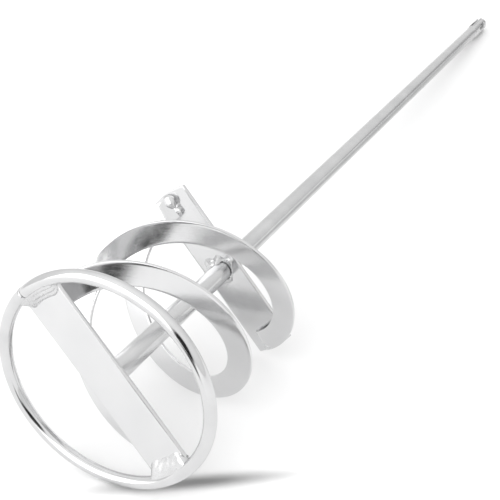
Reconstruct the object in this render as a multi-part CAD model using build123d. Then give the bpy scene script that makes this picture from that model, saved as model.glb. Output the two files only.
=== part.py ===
from build123d import *

import os
from math import atan2, cos, pi, radians, sin

# Mortar mixing paddle: a long round shaft with a slotted drill shank at one end and, at the other,
# two flat crossbars, two helical blades and a hoop, all welded together.
#
# Every piece is built upright: shaft along Z, shank end face at z = 0, head below, crossbars along X.
# lie_down() then turns it to the way the paddle lies on a floor: shaft along Y, hoop towards -Y.
# All sizes are in millimetres and degrees.

# overall
overall_length = 600.0      # shank end face to the front of the hoop
crossbar_roll = 49.4        # turn of the crossbars about the shaft as the paddle lies

# hoop
hoop_outside = 100.0
hoop_wire = 5.5
hoop_joint_gap = 0.35       # open butt joint between the hoop's two ends
hoop_joint_angle = 173.6    # where that joint is, measured from +X

# shaft
rod_diameter = 9.6
shank_diameter = 10.0
shank_length = 35.0
tip_chamfer = 1.9

# open drive slots, two, on opposite sides of the shank
slot_roll = 19.6
slot_length = 30.5
slot_width = 2.6
slot_floor_radius = 3.4
lip_width = 0.9
lip_radius = 5.5            # the metal that the slots push up stands this far from the axis
lip_end_width = 1.6

# closed locking grooves, two, a quarter turn from the slots
groove_start = 5.0
groove_end = 23.0
groove_cutter_radius = 3.0
groove_cutter_offset = 6.2

# crossbars
bar_width = 20.0
bar_thickness = 2.0
bar_spacing = 100.0         # mid-plane to mid-plane
top_bar_length = 90.0
bottom_bar_length = 88.4    # leaves a root gap for the welds inside the hoop
hoop_lead = 2.5             # the hoop's centre plane is this far in front of the bottom crossbar

# blades, coiled and set by hand: each has its own start angle, turn and width. A blade leaves the top
# crossbar square, takes up its pitch over the top run-in and loses it again over the bottom run-in. The
# legs are those of the beads at its feet.
blade_thickness = 1.5
blade_stations = 48
blade_1 = {
    "start": 178.9, "turn": 364.4, "outside": 87.6, "width": 11.4, "top_run_in": 12.9, "bottom_run_in": 19.4,
    "top_leg": 2.2, "bottom_leg": 2.2,
}
blade_2 = {
    "start": 6.4, "turn": 361.7, "outside": 87.6, "width": 10.7, "top_run_in": 3.0, "bottom_run_in": 11.5,
    "top_leg": 1.2, "bottom_leg": 2.2,
}

# weld beads
collar_leg = 3.8            # shaft to top crossbar
base_leg = 2.5              # shaft to bottom crossbar
foot_bead_length = 9.0
hoop_leg = 2.4              # crossbar face to hoop
weld_bite = 1.0             # how far a bead's blank reaches into its neighbour before it is trimmed

# worked out from the above
hoop_radius = (hoop_outside - hoop_wire) / 2
hoop_z = -overall_length + hoop_wire / 2
bottom_bar_z = hoop_z + hoop_lead
top_bar_z = bottom_bar_z + bar_spacing
bottom_inner_face = bottom_bar_z + bar_thickness / 2
bottom_outer_face = bottom_bar_z - bar_thickness / 2
top_inner_face = top_bar_z - bar_thickness / 2
rod_radius = rod_diameter / 2
shank_radius = shank_diameter / 2
blade_height = top_inner_face - bottom_inner_face


def lie_down(piece):
    """Turn an upright piece to the way the paddle lies: shank towards +Y, crossbars rolled."""
    return Rot(-90, 0, 0) * Rot(0, 0, crossbar_roll) * piece


def chamfered_rod(radius, length):
    """A rod hanging down from z = 0, with the shank's chamfer at its upper end."""
    face_radius = shank_radius - tip_chamfer
    chamfer_height = radius - face_radius
    profile = Polyline(
        (0, 0), (face_radius, 0), (radius, -chamfer_height), (radius, -length), (0, -length), close=True
    )
    return revolve(Plane.XZ * make_face(profile), Axis.Z)


def slot_blank(width, bottom, inner_radius, outer_radius):
    """A block with a rounded lower end, open above the shank's tip, on the +X side."""
    straight = Pos(0, 0, bottom / 2 + width / 4) * Box(
        outer_radius - inner_radius, width, -bottom - width / 2, align=(Align.MIN, Align.CENTER, Align.CENTER)
    )
    rounded = Pos(0, 0, bottom + width / 2) * Rot(0, 90, 0) * Cylinder(
        width / 2, outer_radius - inner_radius, align=(Align.CENTER, Align.CENTER, Align.MIN)
    )
    return Pos(inner_radius, 0, 0) * (straight + rounded)


def locking_groove():
    """The cutter of one closed groove: a round bar with ball ends, on the +X side."""
    length = groove_end - groove_start - 2 * groove_cutter_radius
    middle = -(groove_start + groove_end) / 2
    cutter = Cylinder(groove_cutter_radius, length)
    for end in (-length / 2, length / 2):
        cutter += Pos(0, 0, end) * Sphere(groove_cutter_radius)
    return Pos(groove_cutter_offset, 0, middle) * cutter


def make_shaft():
    """The long rod with the drill shank forged on its upper end."""
    shaft = chamfered_rod(rod_radius, -bottom_inner_face)
    shaft += chamfered_rod(shank_radius, shank_length)
    lips = chamfered_rod(lip_radius, shank_length)
    reach = 2 * shank_radius
    for side in (0, 180):
        turn = Rot(0, 0, slot_roll + side)
        lip_bottom = -slot_length - lip_end_width
        outline = slot_blank(slot_width + 2 * lip_width, lip_bottom, slot_floor_radius, reach)
        shaft += lips & (turn * outline)
    for side in (0, 180):
        turn = Rot(0, 0, slot_roll + side)
        shaft -= turn * slot_blank(slot_width, -slot_length, slot_floor_radius, reach)
        shaft -= turn * Rot(0, 0, 90) * locking_groove()
    return shaft


def make_hoop():
    """The hoop, a bent rod whose two ends butt together."""
    gap_angle = hoop_joint_gap / hoop_radius * 180 / pi
    section = Plane.XZ * Pos(hoop_radius, hoop_z) * Circle(hoop_wire / 2)
    hoop = revolve(section, Axis.Z, 360 - gap_angle)
    return Rot(0, 0, hoop_joint_angle + gap_angle / 2) * hoop


def crossbar(length, z):
    """A flat bar whose ends are cut to a circle about the shaft."""
    disc = Cylinder(length / 2, bar_thickness)
    strip = Box(length, bar_width, bar_thickness)
    return Pos(0, 0, z) * (disc & strip)


def make_top_crossbar():
    hole = Pos(0, 0, top_bar_z) * Cylinder(rod_radius, 2 * bar_thickness)
    return crossbar(top_bar_length, top_bar_z) - hole


def make_bottom_crossbar():
    return crossbar(bottom_bar_length, bottom_bar_z)


def blade_mid_radius(blade):
    return (blade["outside"] - blade["width"]) / 2


def blade_turned(blade, drop):
    """Degrees that a blade has turned at a distance below the top crossbar, and the rate there."""
    first = blade["top_run_in"]
    last = blade["bottom_run_in"]
    full_rate = blade["turn"] / (blade_height - (first + last) / 2)
    rise = blade_height - drop
    if drop < first:
        return full_rate * drop**2 / (2 * first), full_rate * drop / first
    if rise < last:
        return blade["turn"] - full_rate * rise**2 / (2 * last), full_rate * rise / last
    return full_rate * (drop - first / 2), full_rate


def blade_corner(blade, drop, across, through):
    """A corner of the blade's section: across is -1 inside or 1 outside, through is -1 or 1."""
    turned, rate = blade_turned(blade, drop)
    angle = radians(blade["start"] - turned)
    lean = atan2(blade_mid_radius(blade) * radians(rate), 1.0)
    radius = blade_mid_radius(blade) + across * blade["width"] / 2
    sideways = through * blade_thickness / 2 * cos(lean)
    upwards = -through * blade_thickness / 2 * sin(lean)
    x = radius * cos(angle) - sideways * sin(angle)
    y = radius * sin(angle) + sideways * cos(angle)
    return (x, y, top_inner_face - drop + upwards)


def make_blade(blade):
    """A flat strip coiled on edge between the crossbars, clockwise downwards."""
    steps = range(blade_stations + 1)
    drops = [blade_height * (1 - cos(pi * step / blade_stations)) / 2 for step in steps]
    corners = [(-1, -1), (1, -1), (1, 1), (-1, 1)]
    edges = []
    for across, through in corners:
        points = [blade_corner(blade, drop, across, through) for drop in drops]
        edges.append(Edge.make_spline(points, parameters=drops))
    faces = [Face.make_surface_from_curves(edges[i], edges[(i + 1) % 4]) for i in range(4)]
    for drop in (0, blade_height):
        outline = Polyline(*[blade_corner(blade, drop, *corner) for corner in corners], close=True)
        faces.append(make_face(outline).face())
    return Solid(Shell(faces))


def round_fillet(face, height, inside):
    """A conical bead about the shaft, from a crossbar's face; a negative height hangs down from it."""
    leg = abs(height)
    profile = Polyline(
        (0, face), (inside + leg, face), (inside, face + height), (0, face + height), close=True
    )
    return revolve(Plane.XZ * make_face(profile), Axis.Z)


def make_collar_weld(shaft):
    return round_fillet(top_inner_face, -collar_leg, rod_radius) - shaft


def make_base_weld(shaft):
    return round_fillet(bottom_inner_face, base_leg, rod_radius) - shaft


def make_foot_weld(face, up, angle, leg, blade, strip):
    """A bead along a blade's foot, on the side that the blade leans to; up is 1 or -1 from the face."""
    beside = up * blade_thickness / 2
    across = up * leg
    profile = Polyline(
        (0, face), (beside + across, face), (beside + across / 2, face + up * leg * 0.75),
        (beside, face + up * leg), close=True,
    )
    bead = extrude(Plane.YZ * make_face(profile), foot_bead_length / 2, both=True)
    return Rot(0, 0, angle) * Pos(blade_mid_radius(blade), 0, 0) * bead - strip


def make_hoop_weld(start, hoop, bar):
    """The bead across a crossbar's end, which joins it to the inside of the hoop."""
    end = bottom_bar_length / 2
    front = bottom_outer_face
    back = bottom_inner_face
    profile = Polyline(
        (end - hoop_leg, front), (end, front - hoop_leg), (end + weld_bite, front - hoop_leg),
        (hoop_radius, hoop_z), (hoop_radius, back), (end - weld_bite, back), close=True,
    )
    half_angle = atan2(bar_width / 2, end) * 180 / pi
    bead = revolve(Plane.XZ * make_face(profile), Axis.Z, 2 * half_angle)
    return Rot(0, 0, start - half_angle) * bead - hoop - bar


def make_pieces():
    shaft = make_shaft()
    hoop = make_hoop()
    bottom_crossbar = make_bottom_crossbar()
    pieces = {
        "shaft": shaft,
        "hoop": hoop,
        "top_crossbar": make_top_crossbar(),
        "bottom_crossbar": bottom_crossbar,
        "shaft_collar_weld": make_collar_weld(shaft),
        "shaft_base_weld": make_base_weld(shaft),
    }
    for number, blade, bar_end in ((1, blade_1, 180), (2, blade_2, 0)):
        strip = make_blade(blade)
        top = blade["start"]
        foot = top - blade["turn"]
        pieces[f"blade_{number}"] = strip
        pieces[f"blade_{number}_top_weld"] = make_foot_weld(
            top_inner_face, -1, top, blade["top_leg"], blade, strip
        )
        pieces[f"blade_{number}_bottom_weld"] = make_foot_weld(
            bottom_inner_face, 1, foot, blade["bottom_leg"], blade, strip
        )
        pieces[f"hoop_weld_{number}"] = make_hoop_weld(bar_end, hoop, bottom_crossbar)
    return pieces


os.makedirs("parts", exist_ok=True)
for name, piece in make_pieces().items():
    export_step(lie_down(piece), f"parts/{name}.step")
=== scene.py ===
from math import atan2, cos, degrees, hypot, pi, radians, sin, sqrt

import bmesh
import bpy
from mathutils import Matrix, Vector, noise


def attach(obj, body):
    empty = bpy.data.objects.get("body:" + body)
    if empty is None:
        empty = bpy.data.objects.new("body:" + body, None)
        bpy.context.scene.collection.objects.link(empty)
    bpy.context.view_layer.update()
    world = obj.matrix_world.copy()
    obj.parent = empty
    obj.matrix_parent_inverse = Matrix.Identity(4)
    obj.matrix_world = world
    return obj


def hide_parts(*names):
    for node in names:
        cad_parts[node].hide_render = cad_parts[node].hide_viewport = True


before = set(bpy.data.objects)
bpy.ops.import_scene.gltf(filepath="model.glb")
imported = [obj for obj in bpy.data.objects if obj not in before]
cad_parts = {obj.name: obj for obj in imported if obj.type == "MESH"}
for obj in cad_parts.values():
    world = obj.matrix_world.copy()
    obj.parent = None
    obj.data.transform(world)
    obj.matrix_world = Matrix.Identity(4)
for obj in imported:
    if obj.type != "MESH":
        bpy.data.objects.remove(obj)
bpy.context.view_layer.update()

# Lengths below are in millimetres and angles in degrees. The shaft's axis is Y, its end face is at
# y = 0 and the head is at -Y. An angle is measured about the shaft, from +X towards +Z.
MM = 0.001

ROD_RADIUS = 4.8
SHANK_RADIUS = 5.0
HOOP_RADIUS = 47.25
HOOP_WIRE = 2.75
HOOP_Y = -597.23
BAR_ROLL = -49.4
BAR_WIDTH = 20.0
BAR_THICK = 2.0
BAR_EDGE = 0.36
TOP_BAR_LENGTH = 90.0
TOP_BAR_Y = -494.75
TOP_BAR_HOLE = ROD_RADIUS + 0.4
BOTTOM_BAR_LENGTH = 88.4
BOTTOM_BAR_Y = -594.75
TOP_FACE_Y = TOP_BAR_Y - BAR_THICK / 2
BOTTOM_FACE_Y = BOTTOM_BAR_Y + BAR_THICK / 2
BLADE_HEIGHT = TOP_FACE_Y - BOTTOM_FACE_Y
BLADE_THICK = 1.5
BLADE_EDGE = 0.28


# ---------------------------------------------------------------- mesh helpers

def polar(radius, angle, along):
    """A point at a radius and angle about the shaft."""
    return Vector((radius * cos(radians(angle)), along, radius * sin(radians(angle))))


def mix(a, b, t):
    return a + (b - a) * t


def smooth_step(low, high, x):
    t = min(1.0, max(0.0, (x - low) / (high - low)))
    return t * t * (3 - 2 * t)


def wobble(seed, *place):
    """Smooth noise between -1 and 1, at up to three coordinates."""
    point = Vector((*place, 0.0, 0.0, 0.0)[:3]) + Vector((seed * 17.3, seed * 5.1, seed * 9.7))
    return noise.noise(point)


def distance_between(ring, after):
    """The mean distance between the matching points of two rings."""
    return sum((a - b).length for a, b in zip(ring, after)) / len(ring)


def running_total(steps):
    totals = [0.0]
    for step in steps:
        totals.append(totals[-1] + step)
    return totals


def add_cap(bm, uv_layer, ring_verts):
    face = bm.faces.new(ring_verts)
    for loop in face.loops:
        loop[uv_layer].uv = (loop.vert.co.x / MM, loop.vert.co.z / MM)


def add_tube(bm, rings, closed):
    """Faces between closed rings of points, with UVs in millimetres. Where the tube isn't closed on
    itself, it gets two end caps."""
    uv_layer = bm.loops.layers.uv.verify()
    verts = [[bm.verts.new(p * MM) for p in ring] for ring in rings]
    count = len(rings[0])
    travelled = running_total(distance_between(a, b) for a, b in zip(rings, rings[1:] + rings[:1]))
    middle = rings[len(rings) // 2]
    girth = running_total((a - b).length for a, b in zip(middle, middle[1:] + middle[:1]))
    for i in range(len(rings) if closed else len(rings) - 1):
        k = (i + 1) % len(rings)
        for j in range(count):
            m = (j + 1) % count
            face = bm.faces.new((verts[i][j], verts[i][m], verts[k][m], verts[k][j]))
            corners = ((i, j), (i, j + 1), (i + 1, j + 1), (i + 1, j))
            for loop, (row, column) in zip(face.loops, corners):
                loop[uv_layer].uv = (travelled[row], girth[column])
    if not closed:
        add_cap(bm, uv_layer, verts[0])
        add_cap(bm, uv_layer, verts[-1])


def skin(name, *tubes, closed=False, sharp=40):
    """A mesh object over tubes, each a list of rings; closed joins a tube's last ring to its first."""
    mesh = bpy.data.meshes.new(name)
    bm = bmesh.new()
    for rings in tubes:
        add_tube(bm, rings, closed)
    bmesh.ops.recalc_face_normals(bm, faces=bm.faces)
    bm.to_mesh(mesh)
    bm.free()
    mesh.shade_smooth()
    mesh.set_sharp_from_angle(angle=radians(sharp))
    piece = bpy.data.objects.new(name, mesh)
    bpy.context.collection.objects.link(piece)
    return piece


def settle(piece, cad_node, material):
    """Puts a finished piece in the place of its CAD node."""
    piece.name = cad_node + "_plated"
    piece.data.materials.append(material)
    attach(piece, "root")
    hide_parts(cad_node)


# ---------------------------------------------------------------- materials

# sizes of the steel's textures, in features to a metre
CLOUDS = (60, 60, 60)
PATCHES = (180, 180, 180)
PITS = (900, 900, 900)


def new_material(name):
    material = bpy.data.materials.new(name)
    material.use_nodes = True
    tree = material.node_tree
    return material, tree, tree.nodes["Principled BSDF"]


def node(tree, kind, **values):
    """A new node; each value is an input, or an attribute where no input has that name."""
    made = tree.nodes.new(kind)
    for key, value in values.items():
        label = key.replace("_", " ").title()
        if label in made.inputs:
            made.inputs[label].default_value = value
        else:
            setattr(made, key, value)
    return made


def stretched_noise(tree, source, stretch, detail=4.0, roughness=0.55):
    """Noise on a coordinate output, scaled by stretch along each of its axes."""
    mapping = node(tree, "ShaderNodeMapping", vector_type="POINT")
    mapping.inputs["Scale"].default_value = stretch
    tree.links.new(source, mapping.inputs["Vector"])
    texture = node(tree, "ShaderNodeTexNoise", scale=1.0, detail=detail, roughness=roughness)
    tree.links.new(mapping.outputs["Vector"], texture.inputs["Vector"])
    return texture.outputs["Fac"]


def ramp(tree, source, stops):
    """A colour ramp on a value; stops are (position, colour)."""
    made = node(tree, "ShaderNodeValToRGB")
    elements = made.color_ramp.elements
    while len(elements) < len(stops):
        elements.new(0.5)
    for element, (position, colour) in zip(elements, stops):
        element.position = position
        element.color = (*colour, 1.0)
    tree.links.new(source, made.inputs["Fac"])
    return made.outputs["Color"]


def map_range(tree, source, low, high, to_low, to_high):
    made = node(tree, "ShaderNodeMapRange", from_min=low, from_max=high, to_min=to_low, to_max=to_high)
    tree.links.new(source, made.inputs["Value"])
    return made.outputs["Result"]


def bump(tree, source, height, normal=None):
    """A bump of a value, height in millimetres, over another bump."""
    made = node(tree, "ShaderNodeBump", strength=1.0, distance=height * MM)
    tree.links.new(source, made.inputs["Height"])
    if normal:
        tree.links.new(normal, made.inputs["Normal"])
    return made.outputs["Normal"]


def painted_groove_shade(tree, place, colour):
    """Painted shade: darkens a colour inside the shank's grooves, by the distance from the shaft's axis.
    """
    square = node(tree, "ShaderNodeVectorMath", operation="MULTIPLY")
    square.inputs[1].default_value = (1, 0, 1)
    tree.links.new(place.outputs["Object"], square.inputs[0])
    away = node(tree, "ShaderNodeVectorMath", operation="LENGTH")
    tree.links.new(square.outputs["Vector"], away.inputs[0])
    unshaded = map_range(tree, away.outputs["Value"], 3.5 * MM, 4.7 * MM, 0.5, 1.0)
    groove_shaded = node(tree, "ShaderNodeVectorMath", operation="SCALE")
    tree.links.new(colour, groove_shaded.inputs[0])
    tree.links.new(unshaded, groove_shaded.inputs["Scale"])
    return groove_shaded.outputs["Vector"]


def plated_steel(name, shade, rough, grain, grain_height, pit_height, grooved=False, mottle=1.0):
    """Bright zinc plate over drawn or rolled steel. grain is the stretch of its fine lines along U and V,
    rough is the roughness from its smoothest place to its dullest, and the heights are millimetres."""
    material, tree, shader = new_material(name)
    place = node(tree, "ShaderNodeTexCoord")
    clouds = stretched_noise(tree, place.outputs["Object"], CLOUDS, detail=3.0)
    low = shade * (1 - 0.07 * mottle)
    high = shade * (1 + 0.05 * mottle)
    dull = (low, low * 1.003, low * 1.01)
    bright = (high, high, high * 1.005)
    colour = ramp(tree, clouds, ((0.3, dull), (0.7, bright)))
    # painted shade in the shank's grooves, darker nearer the shaft's axis
    if grooved:
        colour = painted_groove_shade(tree, place, colour)
    tree.links.new(colour, shader.inputs["Base Color"])
    lines = stretched_noise(tree, place.outputs["UV"], (*grain, 1.0), detail=3.0)
    patches = stretched_noise(tree, place.outputs["Object"], PATCHES, detail=5.0)
    both = node(tree, "ShaderNodeMath", operation="ADD")
    tree.links.new(lines, both.inputs[0])
    tree.links.new(patches, both.inputs[1])
    tree.links.new(map_range(tree, both.outputs["Value"], 0.7, 1.3, *rough), shader.inputs["Roughness"])
    pits = stretched_noise(tree, place.outputs["Object"], PITS, detail=2.0)
    normal = bump(tree, pits, pit_height)
    normal = bump(tree, lines, grain_height, normal)
    tree.links.new(normal, shader.inputs["Normal"])
    shader.inputs["Metallic"].default_value = 1.0
    return material


def make_materials():
    """Each steel's shade, roughness, grain, height of its grain and depth of its pits."""
    return {
        "rod": plated_steel("plated_rod", 0.61, (0.15, 0.25), (0.02, 2.5), 0.014, 0.003, grooved=True),
        "wire": plated_steel("plated_wire", 0.63, (0.06, 0.16), (0.04, 2.0), 0.01, 0.004),
        "strip": plated_steel("plated_strip", 0.68, (0.1, 0.2), (0.05, 3.0), 0.006, 0.004, mottle=0.4),
        "weld": plated_steel("weld_metal", 0.62, (0.18, 0.32), (0.6, 0.9), 0.008, 0.006),
    }


# ---------------------------------------------------------------- blades

# start is where a blade leaves the top crossbar and turn is how far it goes round. run_in is the height
# over which it takes up its pitch, and loses it again. outside is its outer radius at its top, its middle
# and its foot.
BLADES = {
    "blade_1": {
        "start": 131.7, "turn": 364.4, "run_in": (12.9, 19.4),
        "outside": (43.9, 43.2, 44.1), "width": 11.4, "seed": 1,
    },
    "blade_2": {
        "start": -55.8, "turn": 361.7, "run_in": (3.0, 11.5),
        "outside": (44.5, 43.4, 43.5), "width": 10.7, "seed": 2,
    },
}
BLADE_STATIONS = 300
BLADE_HELD = 6.0    # a blade is only uneven further than this from both crossbars


def turned(blade, drop):
    """Degrees that a blade has turned at a distance from the top crossbar, and the rate there."""
    first, last = blade["run_in"]
    rate = blade["turn"] / (BLADE_HEIGHT - (first + last) / 2)
    rise = BLADE_HEIGHT - drop
    if drop < first:
        return rate * drop ** 2 / (2 * first), rate * drop / first
    if rise < last:
        return blade["turn"] - rate * rise ** 2 / (2 * last), rate * rise / last
    return rate * (drop - first / 2), rate


def rounded_section(width, thick, corner, steps=3, across=10):
    """A rounded rectangle about (0, 0), as (across, through) pairs."""
    points = []
    quarters = ((1, 1, 0), (-1, 1, 90), (-1, -1, 180), (1, -1, 270))
    for sx, sy, first in quarters:
        centre_x = sx * (width / 2 - corner)
        centre_y = sy * (thick / 2 - corner)
        for step in range(steps + 1):
            a = radians(first + 90 * step / steps)
            points.append((centre_x + corner * cos(a), centre_y + corner * sin(a)))
        if sy * sx > 0:
            flat = width - 2 * corner
            for step in range(1, across):
                points.append((centre_x - sx * flat * step / across, points[-1][1]))
    return points


def blade_outside(blade, along):
    """A blade's outer radius on a smooth curve through its three values; along goes from 0 to 1."""
    top, middle, foot = blade["outside"]
    radius = top * (1 - along) * (1 - 2 * along) + middle * 4 * along * (1 - along)
    return radius + foot * along * (2 * along - 1)


def blade_ring(blade, drop, section):
    """One section of a blade, square to the strip."""
    along = drop / BLADE_HEIGHT
    seed = blade["seed"]
    free = smooth_step(0, BLADE_HELD, drop) * smooth_step(0, BLADE_HELD, BLADE_HEIGHT - drop)
    outside = blade_outside(blade, along) + 0.12 * free * wobble(seed, along * 9)
    turn, rate = turned(blade, drop)
    angle = blade["start"] + turn
    centre_radius = outside - blade["width"] / 2
    lean = atan2(centre_radius * radians(rate), 1.0)
    dish = 0.03 * free * wobble(seed + 5, along * 5)
    centre = polar(centre_radius, angle, TOP_FACE_Y - drop)
    radial = polar(1, angle, 0)
    normal = polar(cos(lean), angle + 90, sin(lean))
    outward = radial + normal * dish
    return [centre + outward * x + normal * y for x, y in section]


def make_blade(name, material):
    blade = BLADES[name]
    section = rounded_section(blade["width"], BLADE_THICK, BLADE_EDGE)
    drops = [BLADE_HEIGHT * i / BLADE_STATIONS for i in range(BLADE_STATIONS + 1)]
    rings = [blade_ring(blade, drop, section) for drop in drops]
    settle(skin(name, rings), name, material)


# ---------------------------------------------------------------- shaft

SHAFT_POINTS = 240
SHANK_LENGTH = 35.0
TIP_CHAMFER = 1.9

# the open slots; SLOT_END is the centre of a slot's round end
SLOT_ANGLE = 111.0
SLOT_HALF = 1.3
SLOT_END = -29.2
SLOT_FLOOR = 3.5
LIP_HEIGHT = 0.45
LIP_WIDTH = 1.3
SWIRL_PITCH = 6.5

# the closed grooves, cut by a round bar with ball ends; the first two are the centres of its balls
GROOVE_FIRST = -8.0
GROOVE_LAST = -20.0
GROOVE_CUT = 3.0
GROOVE_OFFSET = 6.2


def shaft_radius(y):
    """The round blank's radius: chamfer, shank, and a short taper down to the rod."""
    if y > -TIP_CHAMFER:
        return SHANK_RADIUS - TIP_CHAMFER - y
    return mix(ROD_RADIUS, SHANK_RADIUS, smooth_step(-SHANK_LENGTH - 2.0, -SHANK_LENGTH + 2.0, y))


def slot_distance(across, y):
    """Distance from the outline of the open slot, negative inside it."""
    past = max(0.0, SLOT_END - y)
    return hypot(across, past) - SLOT_HALF


def swirl(across, y):
    """The slanting press marks on a slot's floor."""
    phase = y / SWIRL_PITCH + across * 0.32
    wave = 0.5 + 0.5 * sin(2 * pi * phase)
    return 0.22 * wave ** 3 + 0.05 * wobble(7, across * 1.5, y * 0.9)


def press_slot(high, across, y):
    """Height above the shaft's middle, after the open slot and its raised lips."""
    away = slot_distance(across, y)
    if away > LIP_WIDTH:
        return high
    chamfer = smooth_step(-0.6, -2.4, y)
    lip = LIP_HEIGHT * chamfer * (1 - smooth_step(0.45, 1.15, away))
    lip *= 1 + 0.25 * wobble(8, across, y * 0.7)
    if away >= 0:
        return high + lip
    bottom = SLOT_FLOOR + swirl(across, y)
    wall = smooth_step(-0.28, 0.0, away)
    return min(high + lip, mix(bottom, high + lip, wall))


def press_groove(high, across, y):
    """Height above the shaft's middle, after the closed groove with its ball ends."""
    past = max(0.0, y - GROOVE_FIRST, GROOVE_LAST - y)
    inside = GROOVE_CUT ** 2 - across ** 2 - past ** 2
    return min(high, GROOVE_OFFSET - sqrt(inside)) if inside > 0 else high


def shaft_ring(y):
    radius = shaft_radius(y)
    forged = smooth_step(-SHANK_LENGTH - 1.0, -SHANK_LENGTH + 4.0, y)
    ring = []
    for j in range(SHAFT_POINTS):
        a = 2 * pi * j / SHAFT_POINTS
        uneven = 1 + 0.006 * forged * wobble(9, cos(a) * 1.5, sin(a) * 1.5, y * 0.25)
        u, v = radius * uneven * cos(a), radius * uneven * sin(a)
        if y > -SHANK_LENGTH:
            side = 1 if u > 0 else -1
            if abs(u) > abs(v):
                u = side * press_slot(abs(u), v, y)
            side = 1 if v > 0 else -1
            if abs(v) > abs(u) * 0.7:
                v = side * press_groove(abs(v), u, y)
        ring.append(polar(u, SLOT_ANGLE, y) + polar(v, SLOT_ANGLE + 90, 0))
    return ring


def make_shaft(material):
    """The drawn rod, with its slotted shank; the stations are closest together along the shank."""
    tip_steps, shank_steps, rod_steps = 10, 151, 90
    tip = [-TIP_CHAMFER * i / tip_steps for i in range(tip_steps + 1)]
    shank = [-TIP_CHAMFER - 0.22 * i for i in range(1, shank_steps + 1)]
    rod = [mix(shank[-1], BOTTOM_FACE_Y, i / rod_steps) for i in range(1, rod_steps + 1)]
    rings = [shaft_ring(y) for y in tip + shank + rod]
    settle(skin("shaft", rings), "shaft", material)


# ---------------------------------------------------------------- hoop

HOOP_JOINT = 137.0
HOOP_GAP = 0.45
HOOP_BEVEL = 0.35
HOOP_STEPS = 360
HOOP_WAVE = 0.12
HOOP_MEAN = HOOP_RADIUS - HOOP_WAVE     # so that its waves stay inside the CAD's hoop
WIRE_POINTS = 32


def hoop_ring(angle, wire, seed=3):
    """One section of the hoop, which is a little out of round."""
    radius = HOOP_MEAN - HOOP_WAVE * wobble(seed, cos(radians(angle)) * 2, sin(radians(angle)) * 2)
    points = []
    for j in range(WIRE_POINTS):
        a = 2 * pi * j / WIRE_POINTS
        points.append(polar(radius + wire * cos(a), angle, HOOP_Y + wire * sin(a)))
    return points


def make_hoop(material):
    """The bent wire, with its two cut ends facing each other."""
    gap = degrees(HOOP_GAP / HOOP_RADIUS)
    start = HOOP_JOINT + gap / 2
    sweep = 360 - gap
    bevel_angle = degrees(HOOP_BEVEL / HOOP_RADIUS)
    first = [(0, HOOP_WIRE - HOOP_BEVEL), (bevel_angle * 0.4, HOOP_WIRE - HOOP_BEVEL * 0.3)]
    steps = [bevel_angle + (sweep - 2 * bevel_angle) * i / HOOP_STEPS for i in range(HOOP_STEPS + 1)]
    middle = [(step, HOOP_WIRE) for step in steps]
    last = [(sweep - turn, wire) for turn, wire in reversed(first)]
    rings = [hoop_ring(start + turn, wire) for turn, wire in first + middle + last]
    settle(skin("hoop", rings), "hoop", material)


# ---------------------------------------------------------------- crossbars

def bar_outline(length, inset, count_side=30, count_end=12):
    """The outline of a crossbar with round ends, as (along, across) pairs."""
    radius = length / 2 - inset
    half = BAR_WIDTH / 2 - inset
    swing = atan2(half, sqrt(radius ** 2 - half ** 2))
    points = []
    for side in (1, -1):
        for i in range(count_end + 1):
            a = -swing + 2 * swing * i / count_end
            points.append((side * radius * cos(a), side * radius * sin(a)))
        corner = radius * cos(swing)
        for i in range(1, count_side):
            points.append((side * (corner - 2 * corner * i / count_side), side * half))
    return points


def bar_point(along, across, y):
    axis = polar(1, BAR_ROLL, 0)
    aside = polar(1, BAR_ROLL + 90, 0)
    return axis * along + aside * across + Vector((0, y, 0))


def bar_rings(length, y):
    """The outlines of a flat strip with slightly rounded edges, from its shank side to its hoop side."""
    half = BAR_THICK / 2
    levels = [(BAR_EDGE * 2.5, half), (BAR_EDGE, half)]
    levels += [(BAR_EDGE * 0.3, half - BAR_EDGE * 0.3), (0, half - BAR_EDGE)]
    levels += [(inset, -height) for inset, height in reversed(levels)]
    return [
        [bar_point(u, v, y + height) for u, v in bar_outline(length, inset)] for inset, height in levels
    ]


def hole_ring(length, y):
    """The rim of the shaft's hole, with a point opposite each point of the bar's outline."""
    turns = [atan2(v, u) for u, v in bar_outline(length, 0)]
    return [bar_point(TOP_BAR_HOLE * cos(a), TOP_BAR_HOLE * sin(a), y) for a in turns]


def make_crossbars(material):
    rings = bar_rings(BOTTOM_BAR_LENGTH, BOTTOM_BAR_Y)
    settle(skin("bottom_crossbar", rings), "bottom_crossbar", material)
    rings = [hole_ring(TOP_BAR_LENGTH, TOP_BAR_Y + BAR_THICK / 2)]
    rings += bar_rings(TOP_BAR_LENGTH, TOP_BAR_Y)
    rings.append(hole_ring(TOP_BAR_LENGTH, TOP_BAR_Y - BAR_THICK / 2))
    settle(skin("top_crossbar", rings, closed=True), "top_crossbar", material)


# ---------------------------------------------------------------- welds

WELD_SHARP = 70
FOOT_BEAD = 10.0


def lump_at(lumps, angle):
    """The sum at an angle of soft lumps, each a (middle, half width, size)."""
    total = 0.0
    for middle, half, size in lumps:
        away = abs((angle - middle + 180) % 360 - 180)
        total += size * (1 - smooth_step(0, half, away))
    return total


def weld_face(start, end, out, bulge, seed, grit, ripple, count=14):
    """Points from start to end over the open face of a weld, which swells along out."""
    points = []
    for i in range(count + 1):
        t = i / count
        point = start.lerp(end, t)
        free = sin(pi * t)
        height = bulge * free + ripple(t) * min(1.0, free * 2)
        height += grit * free * (wobble(seed, *(point * 0.55)) + 0.5 * wobble(seed + 1, *(point * 1.3)))
        points.append(point + out * height)
    return points


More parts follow.
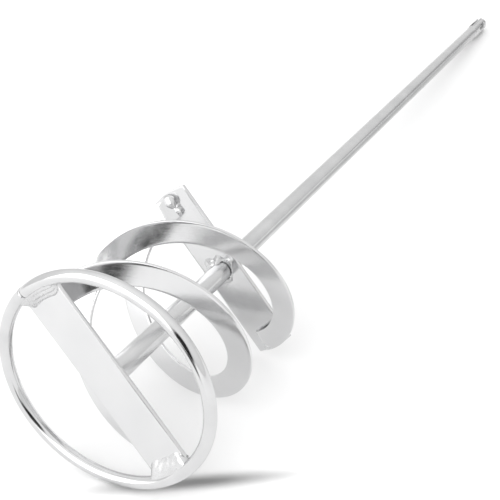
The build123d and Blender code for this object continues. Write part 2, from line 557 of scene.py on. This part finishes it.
# The beads about the shaft. reach is how far one spreads over the crossbar and climb is how far it comes
# along the shaft, each with its lumps. Over the open arc the collar stands clear of the shaft.
SHAFT_BEADS = {
    "shaft_collar_weld": {
        "face": TOP_FACE_Y, "up": -1, "seed": 11, "open_arc": (-34, 94), "reach": 2.3, "climb": 2.2,
        "reach_lumps": ((60, 34, 2.6), (112, 20, 1.2), (163, 38, 3.0), (230, 30, 1.2), (285, 24, 0.8)),
        "climb_lumps": ((114, 18, 1.6), (152, 24, 0.8), (200, 36, 1.4), (262, 28, 1.0)),
    },
    "shaft_base_weld": {
        "face": BOTTOM_FACE_Y, "up": 1, "seed": 12, "open_arc": None, "reach": 1.6, "climb": 1.6,
        "reach_lumps": ((30, 40, 0.8), (140, 30, 0.5), (250, 50, 0.9)),
        "climb_lumps": ((60, 30, 0.5), (190, 40, 0.7), (310, 30, 0.4)),
    },
}


def shut_at(angle, open_arc):
    """1 where a bead holds the shaft and 0 over its open arc, with a soft change between."""
    if not open_arc:
        return 1.0
    first, last = open_arc
    past = (angle - first) % 360
    return 1 - smooth_step(-7, 6, min(past, last - first - past))


def shaft_bead_ring(bead, angle):
    """One section of a fillet about the shaft, at a crossbar's face."""
    face, up, seed = bead["face"], bead["up"], bead["seed"]
    shut = shut_at(angle, bead["open_arc"])
    inner = mix(ROD_RADIUS + 0.42, ROD_RADIUS - 0.05, shut)
    rise = 0.22 + shut * (bead["climb"] + lump_at(bead["climb_lumps"], angle))
    width = mix(0.5, bead["reach"], shut) + lump_at(bead["reach_lumps"], angle)
    start = polar(inner, angle, face + up * rise)
    end = polar(inner + width, angle, face - up * 0.03)
    out = (polar(1, angle, 0) + Vector((0, up, 0))).normalized()
    bulge = mix(0.24 * width, 0.1, shut)
    wave = 0.09 * sin(2 * pi * angle / 17 + 0.8 * wobble(seed, angle * 0.02))
    ring = weld_face(start, end, out, bulge, seed, 0.3 * mix(0.4, 1, shut), lambda t: wave)
    ring.append(polar(inner + width * 0.8, angle, face - up * 0.5))
    ring.append(polar(inner, angle, face - up * 0.5))
    return ring


def make_shaft_beads(material):
    for name, bead in SHAFT_BEADS.items():
        rings = [shaft_bead_ring(bead, angle) for angle in range(0, 360, 2)]
        settle(skin(name, rings, closed=True, sharp=WELD_SHARP), name, material)


HOOP_WELD_HALF = 13.4
HOOP_WELD_STEPS = 90


def hoop_ripples(row, across):
    """Three even ridges over the first part of the first hoop weld; its far end has none."""
    ridged = 1 - smooth_step(0.55, 0.72, across)
    return 0.2 * ridged * sin(2 * pi * (3 * row - 0.3))


def hoop_lumps(row, across):
    """Low, slanting lumps all along the second hoop weld."""
    return 0.04 * sin(2 * pi * (across * 5 + row * 1.5)) * sin(pi * row)


def root_bead(angle, size):
    """The back of a hoop weld: a small bead in the gap between the crossbar's end and the hoop."""
    end = BOTTOM_BAR_LENGTH / 2
    return [
        polar(end + 2.4, angle, HOOP_Y),
        polar(end + 1.0 + 0.3 * size, angle, BOTTOM_FACE_Y - 1.3 + 0.4 * size),
        polar(end + 0.3, angle, BOTTOM_FACE_Y - 0.9 + size),
        polar(end - 0.3 - 0.6 * size, angle, BOTTOM_FACE_Y + 0.35 * size),
        polar(end - 1.0 - size, angle, BOTTOM_FACE_Y - 0.3),
    ]


def hoop_bead_ring(angle, across, reach, seed, grit, ripple):
    """One section of a hoop weld: from the crossbar's front face up onto the wire, and the root behind.
    across goes from 0 to 1 along the weld, and lean is how far round the wire it climbs."""
    taper = sqrt(max(0.0, 1 - (2 * across - 1) ** 6))
    lean = radians(mix(30, 46, taper) + 5 * wobble(seed + 2, across * 4))
    inward = (reach + 0.9 * wobble(seed + 3, across * 3)) * taper + 0.2
    wire = HOOP_WIRE - 0.08
    start = polar(BOTTOM_BAR_LENGTH / 2 - inward, angle, BOTTOM_BAR_Y - BAR_THICK / 2 + 0.03)
    finish = polar(HOOP_MEAN - wire * cos(lean), angle, HOOP_Y - wire * sin(lean))
    out = polar(-0.5, angle, -0.86)
    rough = grit * taper * mix(0.4, 1.0, smooth_step(0.5, 0.8, across))
    ring = weld_face(start, finish, out, 0.35 * taper, seed, rough, lambda t: taper * ripple(t, across))
    root = (0.15 + 0.6 * taper) * (1 + 0.3 * wobble(seed + 4, across * 5))
    return ring + root_bead(angle, root)


def hoop_bead(middle, reach, seed, grit, ripple):
    """The weld over a crossbar's end, whose middle is at an angle about the shaft."""
    rings = []
    for step in range(HOOP_WELD_STEPS + 1):
        across = step / HOOP_WELD_STEPS
        angle = middle + mix(-HOOP_WELD_HALF, HOOP_WELD_HALF, across)
        rings.append(hoop_bead_ring(angle, across, reach, seed, grit, ripple))
    return rings


def make_hoop_welds(material):
    first = hoop_bead(BAR_ROLL + 180, 4.2, 13, 0.3, hoop_ripples)
    settle(skin("hoop_weld_1", first, sharp=WELD_SHARP), "hoop_weld_1", material)
    second = hoop_bead(BAR_ROLL, 5.4, 44, 0.12, hoop_lumps)
    axes = (Vector((0.7, 0, 0)), Vector((0, 0.5, 0)), Vector((0, 0, 0.8)))
    nub = drop_rings(Vector((33.4, BOTTOM_BAR_Y - 1.2, -24.6)), axes, 19, 0.25)
    settle(skin("hoop_weld_2", second, nub, sharp=WELD_SHARP), "hoop_weld_2", material)


def drop_rings(centre, axes, seed, lump):
    """A lump of weld metal: an ellipsoid on three half-axes, roughened."""
    rows, columns = 24, 36
    rings = []
    for i in range(rows + 1):
        fall = pi * (0.02 + 0.96 * i / rows)
        ring = []
        for j in range(columns):
            turn = 2 * pi * j / columns
            unit = Vector((sin(fall) * cos(turn), sin(fall) * sin(turn), cos(fall)))
            scale = 1 + lump * (wobble(seed, *(unit * 1.3)) + 0.45 * wobble(seed + 1, *(unit * 3.4)))
            ring.append(centre + (axes[0] * unit.x + axes[1] * unit.y + axes[2] * unit.z) * scale)
        rings.append(ring)
    return rings


def strand_rings(path, size, seed):
    """A thin round bead along a path of points, tapered at both ends and slightly lumpy."""
    columns = 16
    rings = []
    last = len(path) - 1
    for i, centre in enumerate(path):
        along = (path[min(i + 1, last)] - path[max(i - 1, 0)]).normalized()
        side = along.cross(Vector((0, 1, 0))).normalized()
        up = side.cross(along)
        taper = sqrt(max(0.01, 1 - abs(2 * i / last - 1) ** 5))
        ring = []
        for j in range(columns):
            turn = 2 * pi * j / columns
            uneven = wobble(seed, *(centre * 0.7)) + wobble(seed, i * 0.4, j * 0.2)
            scale = size * taper * (1 + 0.12 * uneven)
            ring.append(centre + (side * cos(turn) + up * sin(turn)) * scale)
        rings.append(ring)
    return rings


def foot_place(blade, top, outward, aside, lift):
    """A point by a blade's end: outward from the strip's middle, aside along its turn, and off the bar."""
    angle = blade["start"] + (0 if top else blade["turn"])
    outside = blade["outside"][0 if top else 2]
    face, up = (TOP_FACE_Y, -1) if top else (BOTTOM_FACE_Y, 1)
    place = polar(outside - blade["width"] / 2 + outward, angle, face + up * lift)
    return place + polar(aside, angle + 90, 0)


def foot_strand(blade, top, size, seed):
    """The bead in the corner that a blade's foot leans over."""
    side = 1 if top else -1
    steps = 40
    path = []
    for i in range(steps + 1):
        along = (i / steps - 0.5) * FOOT_BEAD
        aside = side * (BLADE_THICK / 2 + 0.3 * size + 0.2 * wobble(seed, along * 0.5))
        path.append(foot_place(blade, top, along, aside, 0.25 * size))
    return strand_rings(path, size, seed)


def stay_out(rings, top):
    """Stops a bead half a millimetre inside the crossbar that it lies on."""
    for ring in rings:
        for point in ring:
            if top:
                point.y = min(point.y, TOP_FACE_Y + 0.5)
            else:
                point.y = max(point.y, BOTTOM_FACE_Y - 0.5)


def make_blob_weld(blade, material):
    """The weld of blade 1 to the top crossbar: a round blob on the strip, and a rough tail below it."""
    along = polar(1, blade["start"], 0)
    across = polar(1, blade["start"] + 90, 0)
    blob_axes = (along * 3.7, across * 2.9, Vector((0, 2.5, 0)))
    tail_axes = (along * 2.9, across * 1.7, Vector((0, 1.6, 0)))
    blob = drop_rings(foot_place(blade, True, 2.6, -0.5, 1.7), blob_axes, 15, 0.13)
    tail = drop_rings(foot_place(blade, True, -2.4, -0.9, 0.7), tail_axes, 21, 0.3)
    stay_out(blob + tail, True)
    settle(skin("blade_1_top_weld", blob, tail, sharp=WELD_SHARP), "blade_1_top_weld", material)


def make_lip_weld(blade, material):
    """The weld of blade 2 to the top crossbar: a bead in its corner, and a thin lip beside it."""
    steps = 12
    lip = []
    for i in range(steps + 1):
        t = i / steps
        lip.append(foot_place(blade, True, mix(1.6, 4.4, t), mix(0.4, 4.2, t), mix(1.9, 3.6, t)))
    corner = foot_strand(blade, True, 0.8, 17)
    lip = strand_rings(lip, 0.55, 20)
    settle(skin("blade_2_top_weld", corner, lip, sharp=WELD_SHARP), "blade_2_top_weld", material)


def make_welds(material):
    make_shaft_beads(material)
    make_hoop_welds(material)
    make_blob_weld(BLADES["blade_1"], material)
    make_lip_weld(BLADES["blade_2"], material)
    for blade_name, seed in (("blade_1", 16), ("blade_2", 18)):
        rings = foot_strand(BLADES[blade_name], False, 1.7, seed)
        stay_out(rings, False)
        name = blade_name + "_bottom_weld"
        settle(skin(name, rings, sharp=WELD_SHARP), name, material)


# ---------------------------------------------------------------- stage

# The stage is in metres. The paddle lies on its hoop and its shank's end, so the floor tilts in its frame.
CAMERA_PLACE = (0.18928, -0.86602, 0.23506)
CAMERA_RIGHT = (0.9110, 0.4111, 0.0311)
CAMERA_UP = (-0.2178, 0.4158, 0.8830)
CAMERA_LENS = 72.14     # millimetres, over a sensor 36 wide
CAMERA_SHIFT = (-0.0602, -0.0109)
FLOOR_TILT = 4.33
FLOOR_AT_TIP = -0.0052
FLOOR_REACH = 6.0
FLOOR_NORMAL = Vector((0, -sin(radians(FLOOR_TILT)), cos(radians(FLOOR_TILT))))
HEAD = Vector((0.0, -0.57, 0.0))
CORNERS = ((-1, -1), (1, -1), (1, 1), (-1, 1))


def make_camera():
    data = bpy.data.cameras.new("camera")
    data.lens = CAMERA_LENS
    data.sensor_width = 36.0
    data.shift_x, data.shift_y = CAMERA_SHIFT
    camera = bpy.data.objects.new("camera", data)
    right = Vector(CAMERA_RIGHT).normalized()
    up = Vector(CAMERA_UP).normalized()
    back = right.cross(up)
    turn = Matrix((right, up, back)).transposed().to_4x4()
    camera.matrix_world = Matrix.Translation(CAMERA_PLACE) @ turn
    bpy.context.collection.objects.link(camera)
    bpy.context.scene.camera = camera


def make_floor():
    mesh = bpy.data.meshes.new("floor")
    corners = [(x * FLOOR_REACH, y * FLOOR_REACH, 0) for x, y in CORNERS]
    mesh.from_pydata(corners, [], [(0, 1, 2, 3)])
    floor_plane = bpy.data.objects.new("floor", mesh)
    floor_plane.rotation_euler = (radians(FLOOR_TILT), 0, 0)
    floor_plane.location = (0, 0, FLOOR_AT_TIP)
    bpy.context.collection.objects.link(floor_plane)
    material, _, shader = new_material("paper_floor")
    shader.inputs["Base Color"].default_value = (0.9, 0.9, 0.9, 1)
    shader.inputs["Roughness"].default_value = 1.0
    mesh.materials.append(material)


def make_world():
    """A white studio: brighter overhead, duller beyond the shank, and plain white to the camera."""
    world = bpy.data.worlds.new("studio")
    bpy.context.scene.world = world
    world.use_nodes = True
    tree = world.node_tree
    place = node(tree, "ShaderNodeTexCoord")
    split = node(tree, "ShaderNodeSeparateXYZ")
    tree.links.new(place.outputs["Generated"], split.inputs["Vector"])
    height = map_range(tree, split.outputs["Z"], 0.0, 1.0, 0.92, 1.3)
    depth = map_range(tree, split.outputs["Y"], -0.2, 1.0, 1.0, 0.88)
    light = node(tree, "ShaderNodeMath", operation="MULTIPLY")
    tree.links.new(height, light.inputs[0])
    tree.links.new(depth, light.inputs[1])
    studio = tree.nodes["Background"]
    tree.links.new(light.outputs["Value"], studio.inputs["Strength"])
    studio.inputs["Color"].default_value = (1, 1, 1, 1)
    backdrop = node(tree, "ShaderNodeBackground", strength=1.1)
    backdrop.inputs["Color"].default_value = (1, 1, 1, 1)
    rays = node(tree, "ShaderNodeLightPath")
    choose = node(tree, "ShaderNodeMixShader")
    tree.links.new(rays.outputs["Is Camera Ray"], choose.inputs["Fac"])
    tree.links.new(studio.outputs["Background"], choose.inputs[1])
    tree.links.new(backdrop.outputs["Background"], choose.inputs[2])
    tree.links.new(choose.outputs["Shader"], tree.nodes["World Output"].inputs["Surface"])


def direction(azimuth, elevation):
    """Azimuth 0 looks towards -Y, where the head points; elevation is above the level."""
    a, e = radians(azimuth), radians(elevation)
    return Vector((sin(a) * cos(e), -cos(a) * cos(e), sin(e)))


def make_softbox(name, azimuth, elevation, distance, width, height, radiance):
    """A rectangular light that faces the head from a distance."""
    data = bpy.data.lights.new(name, "AREA")
    data.shape = "RECTANGLE"
    data.size = width
    data.size_y = height
    data.energy = radiance * pi * width * height
    light = bpy.data.objects.new(name, data)
    place = HEAD + direction(azimuth, elevation) * distance
    aim = (HEAD - place).to_track_quat("-Z", "Y").to_matrix().to_4x4()
    light.matrix_world = Matrix.Translation(place) @ aim
    light.visible_camera = False
    bpy.context.collection.objects.link(light)


def flag_material(name, dense_from, most):
    """Dark cloth in an oval, which thins out to nothing at its rim. Its cover grows to most by the time
    that it is dense_from of the way in from the rim to the middle."""
    material, tree, shader = new_material(name)
    shader.inputs["Base Color"].default_value = (0.01, 0.01, 0.01, 1)
    shader.inputs["Roughness"].default_value = 1.0
    place = node(tree, "ShaderNodeTexCoord")
    centred = node(tree, "ShaderNodeMapping")
    centred.inputs["Location"].default_value = (-1, -1, 0)
    centred.inputs["Scale"].default_value = (2, 2, 0)
    tree.links.new(place.outputs["UV"], centred.inputs["Vector"])
    disc = node(tree, "ShaderNodeTexGradient", gradient_type="SPHERICAL")
    tree.links.new(centred.outputs["Vector"], disc.inputs["Vector"])
    cover = map_range(tree, disc.outputs["Fac"], 0.02, dense_from, 0.0, most)
    tree.links.new(cover, shader.inputs["Alpha"])
    return material


def make_flag(name, material, centre, along, normal, length, width, shades=False):
    """A dark card that the camera doesn't see: it either shows in reflections or shades the floor."""
    mesh = bpy.data.meshes.new(name)
    mesh.from_pydata([(x * length / 2, y * width / 2, 0) for x, y in CORNERS], [], [(0, 1, 2, 3)])
    layer = mesh.uv_layers.new(name="UVMap")
    for loop, (x, y) in zip(layer.data, CORNERS):
        loop.uv = ((x + 1) / 2, (y + 1) / 2)
    mesh.materials.append(material)
    flag = bpy.data.objects.new(name, mesh)
    normal = Vector(normal).normalized()
    across = normal.cross(Vector(along)).normalized()
    turn = Matrix((across.cross(normal), across, normal)).transposed().to_4x4()
    flag.matrix_world = Matrix.Translation(centre) @ turn
    flag.visible_camera = False
    flag.visible_glossy = not shades
    flag.visible_diffuse = shades
    flag.visible_shadow = shades
    bpy.context.collection.objects.link(flag)


def make_lights():
    """One large softbox before the head, and the cards that draw the dark bands in the bright steel."""
    make_softbox("front_softbox", -20, 26, 1.5, 2.1, 1.65, 1.5)
    black = flag_material("black_flag", 0.4, 1.0)
    make_flag(
        "arm_flag", black, (0.130, -0.884, 0.04), along=(-0.549, -0.47, -0.691),
        normal=(-0.47, 0.857, -0.209), length=0.46, width=0.14,
    )
    make_flag(
        "low_flag", black, (0.03, -0.85, -0.0688), along=(0.31, -0.95, -0.072),
        normal=FLOOR_NORMAL, length=0.26, width=0.12,
    )
    grey = flag_material("grey_flag", 0.3, 0.4)
    make_flag(
        "rear_flag", grey, (0.22, 0.6, 0.08), along=(1, 0, 0),
        normal=(-0.35, -1, 0), length=0.7, width=0.36,
    )
    make_flag(
        "under_flag", grey, (0.085, -0.15, -0.0155), along=(0, 1, 0.0757),
        normal=FLOOR_NORMAL, length=0.7, width=0.17,
    )
    # a hidden dark card just above the floor lays a painted shadow streak right of the hoop's foot, which
    # the paddle itself doesn't cast
    scrim = flag_material("grey_scrim", 0.75, 0.8)
    make_flag(
        "floor_flag", scrim, (0.031, -0.5838, -0.0483), along=(0.86, 0.51, 0.0386),
        normal=FLOOR_NORMAL, length=0.105, width=0.011, shades=True,
    )


def main():
    materials = make_materials()
    for name in BLADES:
        make_blade(name, materials["strip"])
    make_hoop(materials["wire"])
    make_crossbars(materials["strip"])
    make_welds(materials["weld"])
    make_shaft(materials["rod"])
    make_floor()
    make_world()
    make_lights()
    make_camera()
    bpy.context.scene.view_settings.view_transform = "Standard"


main()
